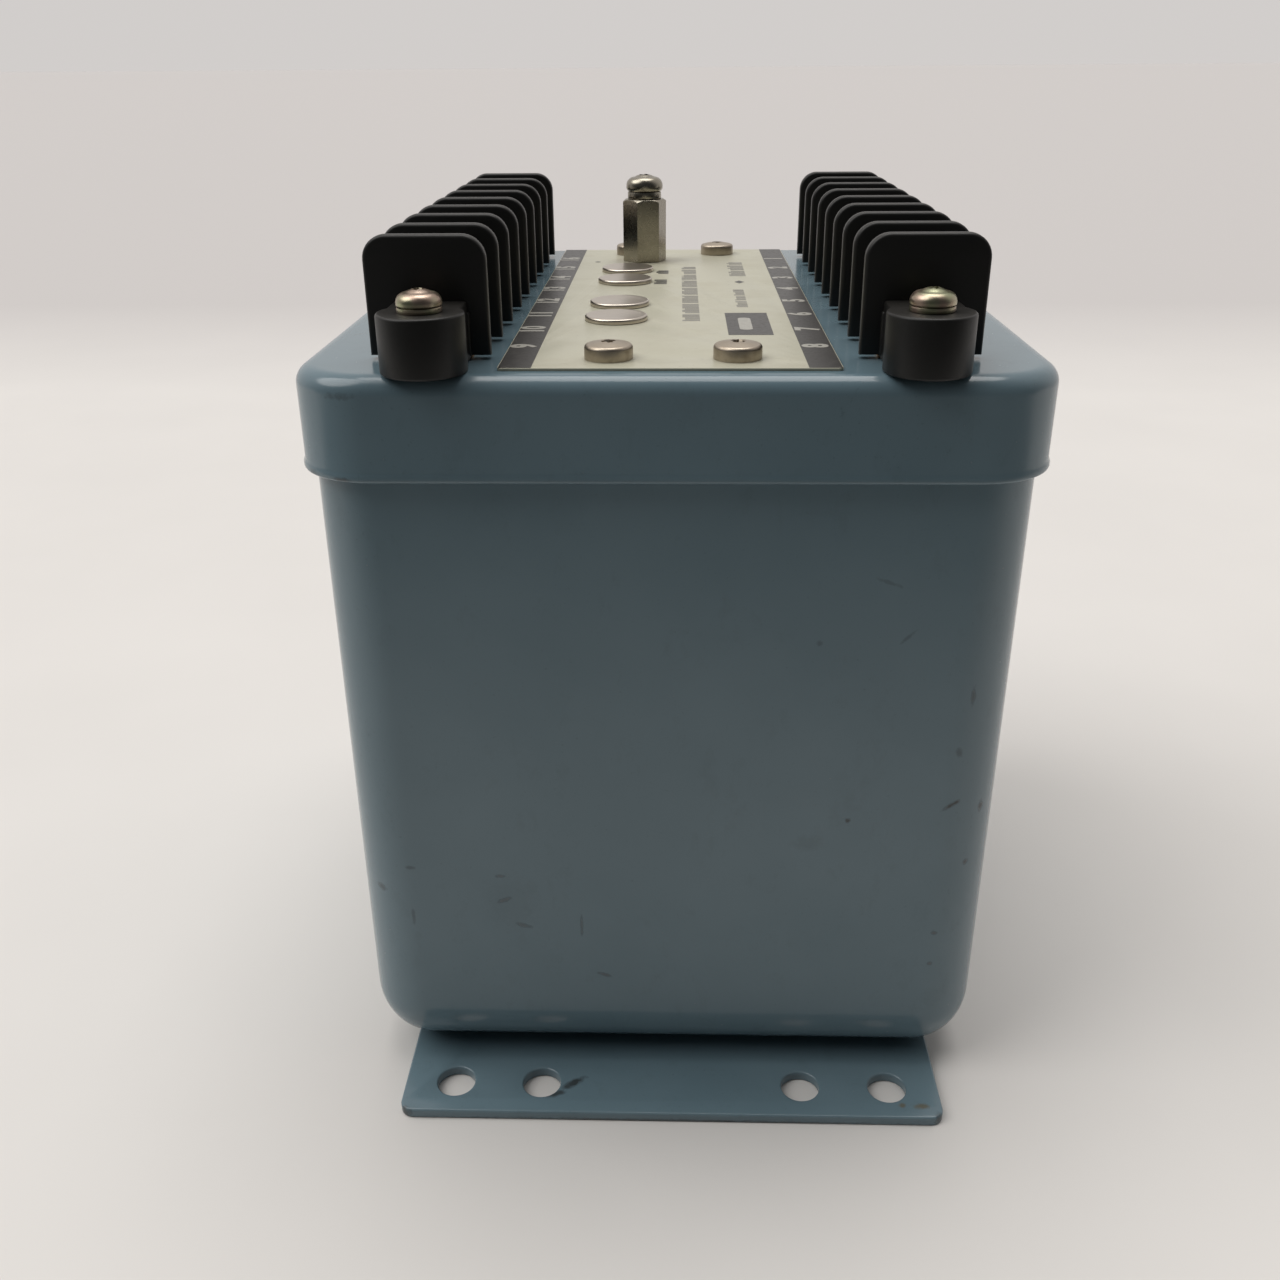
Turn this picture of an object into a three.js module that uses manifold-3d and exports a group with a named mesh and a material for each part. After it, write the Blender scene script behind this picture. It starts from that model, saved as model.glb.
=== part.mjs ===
// Panel-mounted AC transducer in a drawn steel can: flanged base plate, can, cap lid with a
// printed label plate, two eight-way barrier terminal blocks, a hex post and four adjuster
// plugs, with the circuit board, adjusters and transformers that the can encloses.
// Millimetres, +Z up. Origin: middle of the base plate's underside. The wired rows run along Y.

import * as THREE from 'three';
import Module from 'manifold-3d';
import { mergeVertices } from 'three/addons/utils/BufferGeometryUtils.js';

const wasm = await Module();
wasm.setup();

// ---------------------------------------------------------------- driving dimensions

const PITCH = 11.1125; // 7/16 in terminal pitch
const WAYS = 8; // terminals per block
const SHEET = 1.0; // can and lid steel
const ARC_STEPS = 2; // fineness of the arcs in sheet outlines
const SIDES = { small: 12, medium: 16, boss: 20, ring: 28 }; // fineness of round pieces
const PAST = 1; // how far a cutter runs past the faces that it cuts

const BASE = { halfX: 40.6, halfY: 64.25, thick: 1.6, corner: 1.6, holeR: 2.85 };
const BASE_HOLE_X = [-32.85, -19.7, 19.7, 32.85];
const BASE_HOLE_Y = 58.35;

const CAN = { halfX: 46.5, halfY: 53.95, corner: 9.1, bottomR: 10.4, rim: 107.4 };
const LID = { halfX: 47.9, halfY: 55.35, corner: 10.5, edgeR: 2.4, top: 109.3, skirt: 13.1, lipR: 0.45 };

const LABEL = { centreX: -0.55, halfX: 21.0, halfY: 51.7, thick: 0.35, corner: 0.6 };
const LABEL_SCREW_X = [-8.2, 7.9];
const LABEL_SCREW_Y = 46.0;
const LABEL_SCREW = { headR: 3.05, headH: 2.2, shankR: 1.6, shankLength: 9.5, cross: true };
const LABEL_SCREW_HOLE_R = 1.95;

const BLOCK_X = 30.7; // centre line of a block from the middle of the lid
const FIN = { halfX: 7.6, thick: 1.8, lift: 0.5, top: 124.4, corner: 3.0 };
const BAR = { halfX: 5.3, halfY: 46.0, top: 115.3 }; // the bar that joins the fins
// a lug stands nearer the middle of the lid than its block's centre line, by inset
const LUG = { inset: 0.45, y: 52.2, radius: 5.3, neckHalf: 4.6, top: 116.5, holeR: 1.6, overlap: 1.0 };
const LUG_SCREW = { headR: 2.75, headH: 2.8, shankR: 1.35, end: 107.7 }; // ends above the can's rim
const TAIL_SLOT = { halfX: 2.6, halfY: 43.5 };
const TERMINAL = { holeR: 1.9, headSeat: 116.9, headR: 3.0, headH: 2.1, shankR: 1.6, shankEnd: 110.4 };
const GASKET = { insetX: 0.2, insetY: 1.3, corner: 0.5 };

const POST = { x: -5.7, y: 37.5, flats: 6.9, top: 120.5, turn: 12, boreDepth: 8.0 };
const STUD = { radius: 1.7, clearance: 0.3, end: 104.0 }; // the post's stud and the screw in its end
const LOCK_WASHER = { radius: 3.35, thick: 1.3 };
const POST_SCREW = { headR: 3.3, headH: 3.0, shankLength: 7.5 };
const PLUG = { x: -8.4, y: [-20.6, -8.6, 12.8, 24.8], capR: 4.5, capH: 0.75, edge: 0.3, roof: 1.1 };
const PLUG_STEM = { radius: 3.2, wall: 0.7, end: 105.4 };
const ACCESS_R = 3.5; // plug hole through label and lid

const BOARD = { halfX: 39.0, halfY: 49.5, under: 92.7, thick: 1.6, corner: 2.0, holeR: 1.7 };
const SPACER = { flats: 6.35, boreR: 1.9 };
const TRIMMER = { half: 4.75, height: 5.0, wellR: 2.9, wellDepth: 1.6 };
const ROTOR = { radius: 2.55, height: 2.2, slotHalf: 0.4, slotDepth: 0.9 };

const CORE = { halfX: 28.5, halfY: 9.5, height: 48.0, y: 26.0, yoke: 9.5 }; // E-I laminations
const COIL = { overhang: 9.0, slack: 0.3, corner: 3.0, innerCorner: 0.4 };
const RING = { outerR: 18.0, innerR: 6.0, height: 16.0, y: 24.0 };
const LINER = { gap: 0.4, thick: 0.4, bottom: 12.5, top: 92.0 };

const labelTop = LID.top + LABEL.thick;
const boardTop = BOARD.under + BOARD.thick;
const canFloor = BASE.thick + SHEET;
const studHoleR = STUD.radius + STUD.clearance;

// ---------------------------------------------------------------- finishes

function finish(color, roughness, metalness) {
  return new THREE.MeshStandardMaterial({ color, roughness, metalness });
}

const enamel = () => finish(0x6b8592, 0.45, 0.0);
const labelFoil = () => finish(0xb8b6a3, 0.5, 0.1);
const phenolic = () => finish(0x141414, 0.5, 0.0);
const fishPaper = () => finish(0x8a6f4e, 0.8, 0.0);
const nickel = () => finish(0xb4b0a4, 0.3, 1.0);
const zinc = () => finish(0xa9a08a, 0.35, 1.0);
const boardGlass = () => finish(0x3d5a33, 0.55, 0.0);
const trimmerBlue = () => finish(0x2d4f8a, 0.4, 0.0);
const lamination = () => finish(0x4a4a4c, 0.5, 0.8);
const windingTape = () => finish(0xc9b45a, 0.6, 0.0);

// ---------------------------------------------------------------- helpers

const object = new THREE.Group();

function place(name, geometry, material, x = 0, y = 0, z = 0) {
  const mesh = new THREE.Mesh(geometry, material);
  mesh.name = name;
  mesh.position.set(x, y, z);
  object.add(mesh);
  return mesh;
}

function toSolid(geometry) {
  const bare = geometry.clone();
  bare.deleteAttribute('normal');
  bare.deleteAttribute('uv');
  const merged = mergeVertices(bare, 1e-4);
  const vertProperties = new Float32Array(merged.attributes.position.array);
  const triVerts = new Uint32Array(merged.index.array);
  return new wasm.Manifold(new wasm.Mesh({ numProp: 3, vertProperties, triVerts }));
}

function toGeometry(solid) {
  const mesh = solid.getMesh();
  const geometry = new THREE.BufferGeometry();
  geometry.setAttribute('position', new THREE.BufferAttribute(mesh.vertProperties, 3));
  geometry.setIndex(new THREE.BufferAttribute(mesh.triVerts, 1));
  geometry.computeVertexNormals();
  return geometry;
}

function cutFrom(geometry, cutters) {
  let solid = toSolid(geometry);
  for (const cutter of cutters) solid = solid.subtract(toSolid(cutter));
  return toGeometry(solid);
}

function join(geometries) {
  let solid = toSolid(geometries[0]);
  for (const geometry of geometries.slice(1)) solid = solid.add(toSolid(geometry));
  return toGeometry(solid);
}

function box(x0, x1, y0, y1, z0, z1) {
  const geometry = new THREE.BoxGeometry(x1 - x0, y1 - y0, z1 - z0);
  return geometry.translate((x0 + x1) / 2, (y0 + y1) / 2, (z0 + z1) / 2);
}

// Upright cylinder, or a prism when sides is small.
function rod(x, y, radius, z0, z1, sides = SIDES.medium, turn = 0) {
  const geometry = new THREE.CylinderGeometry(radius, radius, z1 - z0, sides);
  geometry.rotateX(Math.PI / 2);
  geometry.rotateZ(turn);
  return geometry.translate(x, y, (z0 + z1) / 2);
}

// Solid of revolution about Z from [radius, height] pairs that run from the axis at the bottom
// to the axis at the top.
function turned(profile, sides = SIDES.small) {
  const points = profile.map(([radius, height]) => new THREE.Vector2(radius, height));
  return new THREE.LatheGeometry(points, sides).rotateX(Math.PI / 2);
}

function roundedRect(halfX, halfY, radius, curve = new THREE.Shape()) {
  curve.absarc(halfX - radius, halfY - radius, radius, 0, Math.PI / 2);
  curve.absarc(radius - halfX, halfY - radius, radius, Math.PI / 2, Math.PI);
  curve.absarc(radius - halfX, radius - halfY, radius, Math.PI, 1.5 * Math.PI);
  curve.absarc(halfX - radius, radius - halfY, radius, 1.5 * Math.PI, 2 * Math.PI);
  curve.closePath();
  return curve;
}

function roundHole(x, y, radius) {
  const hole = new THREE.Path();
  for (let quarter = 4; quarter > 0; quarter -= 1) {
    hole.absarc(x, y, radius, (quarter * Math.PI) / 2, ((quarter - 1) * Math.PI) / 2, true);
  }
  return hole;
}

// Flat sheet with its underside at z0. A quarter circle in its outline gets 2 * ARC_STEPS sides.
function sheet(shape, holes, z0, thick) {
  shape.holes.push(...holes);
  const settings = { depth: thick, bevelEnabled: false, curveSegments: ARC_STEPS };
  return new THREE.ExtrudeGeometry(shape, settings).translate(0, 0, z0);
}

// One level of a drawn shell: a rounded rectangle moved in from the outer wall by inset.
function shellRing(form, inset, z, arcSteps) {
  const radius = Math.max(form.corner - inset, form.corner * 0.2);
  const points = [];
  for (let quadrant = 0; quadrant < 4; quadrant += 1) {
    const signX = quadrant === 0 || quadrant === 3 ? 1 : -1;
    const signY = quadrant < 2 ? 1 : -1;
    for (let step = 0; step <= arcSteps; step += 1) {
      const angle = ((quadrant + step / arcSteps) * Math.PI) / 2;
      const x = signX * (form.halfX - inset - radius) + radius * Math.cos(angle);
      const y = signY * (form.halfY - inset - radius) + radius * Math.sin(angle);
      points.push([x, y, z]);
    }
  }
  return points;
}

// Skins a list of [inset, z] levels and caps both ends. The list runs up an outside wall.
function drawnShell(form, profile, arcSteps = 5) {
  const rings = profile.map(([inset, z]) => shellRing(form, inset, z, arcSteps));
  const count = rings[0].length;
  const positions = rings.flat(2);
  const index = [];
  for (let level = 0; level + 1 < rings.length; level += 1) {
    for (let j = 0; j < count; j += 1) {
      const a = level * count + j;
      const b = level * count + ((j + 1) % count);
      index.push(a, b, b + count, a, b + count, a + count);
    }
  }
  const first = positions.length / 3;
  positions.push(0, 0, profile[0][1], 0, 0, profile[profile.length - 1][1]);
  const lastRing = (rings.length - 1) * count;
  for (let j = 0; j < count; j += 1) {
    const next = (j + 1) % count;
    index.push(first, next, j);
    index.push(first + 1, lastRing + j, lastRing + next);
  }
  const geometry = new THREE.BufferGeometry();
  geometry.setAttribute('position', new THREE.Float32BufferAttribute(positions, 3));
  geometry.setIndex(index);
  geometry.computeVertexNormals();
  return geometry;
}

// [inset, z] points of a quarter circle between two angles, in steps.
function arcPoints(centreInset, centreZ, radius, from, to, steps) {
  const points = [];
  for (let step = 0; step <= steps; step += 1) {
    const angle = from + ((to - from) * step) / steps;
    points.push([centreInset - radius * Math.cos(angle), centreZ + radius * Math.sin(angle)]);
  }
  return points;
}

// A pan head's shape, as parts of its radius and its height.
const PAN = { side: 0.55, shoulderR: 0.75, shoulderH: 0.94, floor: 0.45 };
const DRIVE = { halfWidth: 0.14, crossHalf: 0.58, slotHalf: 1.1 };

// Pan-head screw standing on z = 0 with its shank below, and a cross or a slot in the head.
function panScrew({ headR, headH, shankR, shankLength, cross }) {
  const profile = [
    [0, -shankLength],
    [shankR, -shankLength],
    [shankR, 0],
    [headR, 0],
    [headR, headH * PAN.side],
    [headR * PAN.shoulderR, headH * PAN.shoulderH],
    [0, headH],
  ];
  const width = headR * DRIVE.halfWidth;
  const length = headR * (cross ? DRIVE.crossHalf : DRIVE.slotHalf);
  const floor = headH * PAN.floor;
  const cuts = [box(-length, length, -width, width, floor, headH + PAST)];
  if (cross) cuts.push(box(-width, width, -length, length, floor, headH + PAST));
  return cutFrom(turned(profile), cuts);
}

// ---------------------------------------------------------------- case

function basePlate() {
  const holes = [];
  for (const x of BASE_HOLE_X) {
    for (const y of [-BASE_HOLE_Y, BASE_HOLE_Y]) holes.push(roundHole(x, y, BASE.holeR));
  }
  const outline = roundedRect(BASE.halfX, BASE.halfY, BASE.corner);
  place('base_plate', sheet(outline, holes, 0, BASE.thick), enamel());
}

function can() {
  const innerR = CAN.bottomR - SHEET;
  const bendZ = BASE.thick + CAN.bottomR;
  const profile = [
    ...arcPoints(CAN.bottomR, bendZ, CAN.bottomR, -Math.PI / 2, 0, 6),
    [0, CAN.rim],
    [SHEET, CAN.rim],
    ...arcPoints(CAN.bottomR, bendZ, innerR, 0, -Math.PI / 2, 6),
  ];
  place('can', drawnShell(CAN, profile), enamel());
}

function lid() {
  const underside = LID.top - SHEET;
  const skirtEnd = LID.top - LID.skirt;
  const innerR = LID.edgeR - SHEET;
  const bendZ = LID.top - LID.edgeR;
  const profile = [
    [LID.edgeR, underside],
    ...arcPoints(LID.edgeR, bendZ, innerR, Math.PI / 2, 0, 2).slice(1),
    [SHEET, skirtEnd + LID.lipR],
    [SHEET - LID.lipR * 0.6, skirtEnd],
    [LID.lipR * 0.6, skirtEnd],
    [0, skirtEnd + LID.lipR],
    ...arcPoints(LID.edgeR, bendZ, LID.edgeR, 0, Math.PI / 2, 4),
  ];
  const low = underside - PAST;
  const high = LID.top + PAST;
  const hole = (x, y, radius, sides) => rod(x, y, radius, low, high, sides);
  const cutters = PLUG.y.map((y) => hole(PLUG.x, y, ACCESS_R, SIDES.medium));
  cutters.push(hole(POST.x, POST.y, studHoleR, SIDES.medium));
  for (const x of LABEL_SCREW_X) {
    for (const y of [-LABEL_SCREW_Y, LABEL_SCREW_Y]) {
      cutters.push(hole(x, y, LABEL_SCREW_HOLE_R, SIDES.small));
    }
  }
  const { halfX, halfY } = TAIL_SLOT;
  for (const side of [-1, 1]) {
    const x = side * BLOCK_X;
    cutters.push(box(x - halfX, x + halfX, -halfY, halfY, low, high));
    const lugX = x - side * LUG.inset;
    for (const y of [-LUG.y, LUG.y]) cutters.push(hole(lugX, y, LUG.holeR, SIDES.small));
  }
  place('lid', cutFrom(drawnShell(LID, profile), cutters), enamel());
}

function liner() {
  const inset = SHEET + LINER.gap;
  const outer = roundedRect(CAN.halfX - inset, CAN.halfY - inset, CAN.corner - inset);
  const wall = inset + LINER.thick;
  const inner = roundedRect(CAN.halfX - wall, CAN.halfY - wall, CAN.corner - wall, new THREE.Path());
  place('insulating_liner', sheet(outer, [inner], LINER.bottom, LINER.top - LINER.bottom), fishPaper());
}

// ---------------------------------------------------------------- label and its fasteners

function labelPlate() {
  const shape = roundedRect(LABEL.halfX, LABEL.halfY, LABEL.corner);
  const holes = PLUG.y.map((y) => roundHole(PLUG.x - LABEL.centreX, y, ACCESS_R));
  holes.push(roundHole(POST.x - LABEL.centreX, POST.y, studHoleR));
  for (const x of LABEL_SCREW_X) {
    for (const y of [-LABEL_SCREW_Y, LABEL_SCREW_Y]) {
      holes.push(roundHole(x - LABEL.centreX, y, LABEL_SCREW_HOLE_R));
    }
  }
  const geometry = sheet(shape, holes, LID.top, LABEL.thick).translate(LABEL.centreX, 0, 0);
  place('label_plate', geometry, labelFoil());
}

function labelScrewsAndSpacers() {
  const corners = [
    ['front_left', 0, -1],
    ['front_right', 1, -1],
    ['rear_left', 0, 1],
    ['rear_right', 1, 1],
  ];
  for (const [name, column, end] of corners) {
    const x = LABEL_SCREW_X[column];
    const y = end * LABEL_SCREW_Y;
    place(`label_screw_${name}`, panScrew(LABEL_SCREW), nickel(), x, y, labelTop);
    const cornerR = SPACER.flats / Math.sqrt(3);
    const spacer = rod(0, 0, cornerR, boardTop, LID.top - SHEET, 6);
    const bore = rod(0, 0, SPACER.boreR, boardTop - PAST, LID.top, SIDES.small);
    place(`board_spacer_${name}`, cutFrom(spacer, [bore]), nickel(), x, y);
  }
}

function hexPost() {
  const cornerR = POST.flats / Math.sqrt(3);
  const turn = THREE.MathUtils.degToRad(POST.turn);
  const body = rod(0, 0, cornerR, labelTop, POST.top, 6, turn);
  const stud = rod(0, 0, STUD.radius, STUD.end, labelTop + PAST, SIDES.small);
  const tapped = rod(0, 0, studHoleR, POST.top - POST.boreDepth, POST.top + PAST, SIDES.small);
  place('hex_post', cutFrom(join([body, stud]), [tapped]), nickel(), POST.x, POST.y);

  const washerTop = POST.top + LOCK_WASHER.thick;
  const washer = rod(0, 0, LOCK_WASHER.radius, POST.top, washerTop, SIDES.boss);
  const washerBore = rod(0, 0, studHoleR, POST.top - PAST, washerTop + PAST, SIDES.small);
  place('post_lock_washer', cutFrom(washer, [washerBore]), nickel(), POST.x, POST.y);

  const screw = panScrew({ ...POST_SCREW, shankR: STUD.radius, cross: true });
  place('post_screw', screw, nickel(), POST.x, POST.y, washerTop);
}

function adjusterPlugs() {
  const capTop = labelTop + PLUG.capH;
  const innerR = PLUG_STEM.radius - PLUG_STEM.wall;
  const profile = [
    [0, capTop - PLUG.roof],
    [innerR, capTop - PLUG.roof],
    [innerR, PLUG_STEM.end],
    [PLUG_STEM.radius, PLUG_STEM.end],
    [PLUG_STEM.radius, labelTop],
    [PLUG.capR, labelTop],
    [PLUG.capR, capTop - PLUG.edge],
    [PLUG.capR - PLUG.edge, capTop],
    [0, capTop],
  ];
  PLUG.y.forEach((y, k) => {
    place(`adjuster_plug_${k + 1}`, turned(profile, SIDES.medium), nickel(), PLUG.x, y);
  });
}

// ---------------------------------------------------------------- terminal blocks

function fin(y) {
  const shape = new THREE.Shape();
  const low = LID.top + FIN.lift;
  const bend = FIN.top - FIN.corner;
  shape.moveTo(-FIN.halfX, low);
  shape.lineTo(FIN.halfX, low);
  shape.absarc(FIN.halfX - FIN.corner, bend, FIN.corner, 0, Math.PI / 2);
  shape.absarc(FIN.corner - FIN.halfX, bend, FIN.corner, Math.PI / 2, Math.PI);
  shape.closePath();
  const geometry = sheet(shape, [], 0, FIN.thick);
  return geometry.rotateX(Math.PI / 2).translate(0, y + FIN.thick / 2, 0);
}

function blockBody(lugX) {
  const barFoot = LID.top + FIN.lift;
  const pieces = [box(-BAR.halfX, BAR.halfX, -BAR.halfY, BAR.halfY, barFoot, BAR.top)];
  for (let k = 0; k <= WAYS; k += 1) pieces.push(fin((k - WAYS / 2) * PITCH));
  const cutters = [];
  for (const end of [-1, 1]) {
    const inner = end * (BAR.halfY - LUG.overlap);
    const outer = end * LUG.y;
    pieces.push(rod(lugX, outer, LUG.radius, LID.top, LUG.top, SIDES.boss));
    const [y0, y1] = [Math.min(inner, outer), Math.max(inner, outer)];
    pieces.push(box(lugX - LUG.neckHalf, lugX + LUG.neckHalf, y0, y1, LID.top, LUG.top));
    cutters.push(rod(lugX, outer, LUG.holeR, LID.top - PAST, LUG.top + PAST, SIDES.small));
  }
  for (const y of terminalRow()) {
    cutters.push(rod(0, y, TERMINAL.holeR, barFoot - PAST, BAR.top + PAST, SIDES.small));
  }
  return cutFrom(join(pieces), cutters);
}

function terminalRow() {
  return Array.from({ length: WAYS }, (_, k) => (k - (WAYS - 1) / 2) * PITCH);
}

function gasket() {
  const { insetX, insetY, corner } = GASKET;
  const outline = roundedRect(BAR.halfX - insetX, BAR.halfY - insetY, corner);
  const slot = roundedRect(TAIL_SLOT.halfX, TAIL_SLOT.halfY, corner, new THREE.Path());
  return sheet(outline, [slot], LID.top, FIN.lift);
}

function terminalBlocks() {
  for (const [name, side] of [['left', -1], ['right', 1]]) {
    const x = side * BLOCK_X;
    const lugX = -side * LUG.inset;
    place(`terminal_block_${name}`, blockBody(lugX), phenolic(), x);
    place(`block_gasket_${name}`, gasket(), fishPaper(), x);
    for (const [end, y] of [['front', -LUG.y], ['rear', LUG.y]]) {
      const screw = panScrew({ ...LUG_SCREW, shankLength: LUG.top - LUG_SCREW.end, cross: true });
      place(`block_screw_${name}_${end}`, screw, zinc(), x + lugX, y, LUG.top);
    }
    terminalRow().forEach((y, k) => {
      const shankLength = TERMINAL.headSeat - TERMINAL.shankEnd;
      const screw = panScrew({ ...TERMINAL, shankLength, cross: false });
      place(`terminal_screw_${name}_${k + 1}`, screw, nickel(), x, y, TERMINAL.headSeat);
    });
  }
}

// ---------------------------------------------------------------- inside the can

function circuitBoard() {
  const holes = [];
  for (const x of LABEL_SCREW_X) {
    for (const y of [-LABEL_SCREW_Y, LABEL_SCREW_Y]) holes.push(roundHole(x, y, BOARD.holeR));
  }
  const outline = roundedRect(BOARD.halfX, BOARD.halfY, BOARD.corner);
  place('circuit_board', sheet(outline, holes, BOARD.under, BOARD.thick), boardGlass());
}

function trimmers() {
  const { half, height, wellR, wellDepth } = TRIMMER;
  const caseTop = boardTop + height;
  const wellFloor = caseTop - wellDepth;
  const rotorTop = wellFloor + ROTOR.height;
  const reach = ROTOR.radius + PAST;
  PLUG.y.forEach((y, k) => {
    const shell = box(-half, half, -half, half, boardTop, caseTop);
    const well = rod(0, 0, wellR, wellFloor, caseTop + PAST);
    place(`trimmer_body_${k + 1}`, cutFrom(shell, [well]), trimmerBlue(), PLUG.x, y);
    const rotor = rod(0, 0, ROTOR.radius, wellFloor, rotorTop);
    const slotFloor = rotorTop - ROTOR.slotDepth;
    const slot = box(-reach, reach, -ROTOR.slotHalf, ROTOR.slotHalf, slotFloor, rotorTop + PAST);
    place(`trimmer_rotor_${k + 1}`, cutFrom(rotor, [slot]), nickel(), PLUG.x, y);
  });
}

function transformers() {
  const legHalf = CORE.halfX / 3; // half the middle leg, and the width of a window
  const windowLow = canFloor + CORE.yoke;
  const windowHigh = canFloor + CORE.height - CORE.yoke;
  for (const [name, end] of [['front', -1], ['rear', 1]]) {
    const y = end * CORE.y;
    const { halfX, halfY, height } = CORE;
    const stack = box(-halfX, halfX, -halfY, halfY, canFloor, canFloor + height);
    const windows = [-2 * legHalf, legHalf].map((x0) => {
      return box(x0, x0 + legHalf, -halfY - PAST, halfY + PAST, windowLow, windowHigh);
    });
    place(`transformer_core_${name}`, cutFrom(stack, windows), lamination(), 0, y);

    const { slack, overhang, corner, innerCorner } = COIL;
    const legX = legHalf + slack;
    const legY = halfY + slack;
    const outline = roundedRect(2 * legHalf - slack, legY + overhang, corner);
    const hollow = roundedRect(legX, legY, innerCorner, new THREE.Path());
    const coilLow = windowLow + slack;
    const coil = sheet(outline, [hollow], coilLow, windowHigh - slack - coilLow);
    place(`transformer_coil_${name}`, coil, windingTape(), 0, y);
  }
}

function currentTransformers() {
  const low = BOARD.under - RING.height;
  for (const [name, end] of [['front', -1], ['rear', 1]]) {
    const ring = rod(0, 0, RING.outerR, low, BOARD.under, SIDES.ring);
    const window = rod(0, 0, RING.innerR, low - PAST, BOARD.under + PAST, SIDES.boss);
    place(`current_transformer_${name}`, cutFrom(ring, [window]), windingTape(), 0, end * RING.y);
  }
}

basePlate();
can();
lid();
liner();
labelPlate();
labelScrewsAndSpacers();
hexPost();
adjusterPlugs();
terminalBlocks();
circuitBoard();
trimmers();
transformers();
currentTransformers();

export default object;
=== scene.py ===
import math
import random

import bmesh
import bpy
from mathutils import Matrix, Vector


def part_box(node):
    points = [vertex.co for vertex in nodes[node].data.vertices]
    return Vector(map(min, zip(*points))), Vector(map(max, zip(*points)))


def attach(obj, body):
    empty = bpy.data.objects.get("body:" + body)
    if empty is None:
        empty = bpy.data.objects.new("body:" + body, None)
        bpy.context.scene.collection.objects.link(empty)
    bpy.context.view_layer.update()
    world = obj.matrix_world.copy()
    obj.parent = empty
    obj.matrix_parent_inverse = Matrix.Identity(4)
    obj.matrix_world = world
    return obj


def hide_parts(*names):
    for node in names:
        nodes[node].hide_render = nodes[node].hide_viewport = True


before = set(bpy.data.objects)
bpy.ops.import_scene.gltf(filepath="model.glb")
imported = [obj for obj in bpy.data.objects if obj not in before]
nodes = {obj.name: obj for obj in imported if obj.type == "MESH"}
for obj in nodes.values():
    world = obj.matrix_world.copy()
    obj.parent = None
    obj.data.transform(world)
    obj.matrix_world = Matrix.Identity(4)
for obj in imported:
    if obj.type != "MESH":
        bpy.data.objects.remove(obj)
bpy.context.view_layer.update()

mm = 0.001
scene = bpy.context.scene
housing = "housing"


# Node trees: one class for every tree, and one for shader maths written as expressions.

class Wire:
    def __init__(self, graph, socket):
        self.graph = graph
        self.socket = socket

    def maths(self, operation, *values, clamp=False):
        settings = {"operation": operation, "use_clamp": clamp}
        made = self.graph.node("ShaderNodeMath", settings, dict(enumerate(values)))
        return Wire(self.graph, made.outputs[0])

    def __add__(self, other):
        return self.maths("ADD", self, other)

    def __radd__(self, other):
        return self.maths("ADD", other, self)

    def __sub__(self, other):
        return self.maths("SUBTRACT", self, other)

    def __rsub__(self, other):
        return self.maths("SUBTRACT", other, self)

    def __mul__(self, other):
        return self.maths("MULTIPLY", self, other)

    def __rmul__(self, other):
        return self.maths("MULTIPLY", other, self)

    def clamped(self):
        return self.maths("ADD", self, 0.0, clamp=True)

    def higher(self, other):
        return self.maths("MAXIMUM", self, other)

    def wave(self):
        return self.maths("SINE", self)

    def size(self):
        # how far from zero, whatever the sign
        return self.maths("ABSOLUTE", self)


class NodeGraph:
    def __init__(self, tree):
        self.tree = tree
        tree.nodes.clear()

    def node(self, kind, settings=None, inputs=None):
        made = self.tree.nodes.new(kind)
        for name, value in (settings or {}).items():
            setattr(made, name, value)
        for name, value in (inputs or {}).items():
            self.feed(made.inputs[name], value)
        return made

    def feed(self, socket, value):
        if isinstance(value, Wire):
            value = value.socket
        if isinstance(value, bpy.types.NodeSocket):
            self.tree.links.new(value, socket)
        else:
            socket.default_value = value


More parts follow.
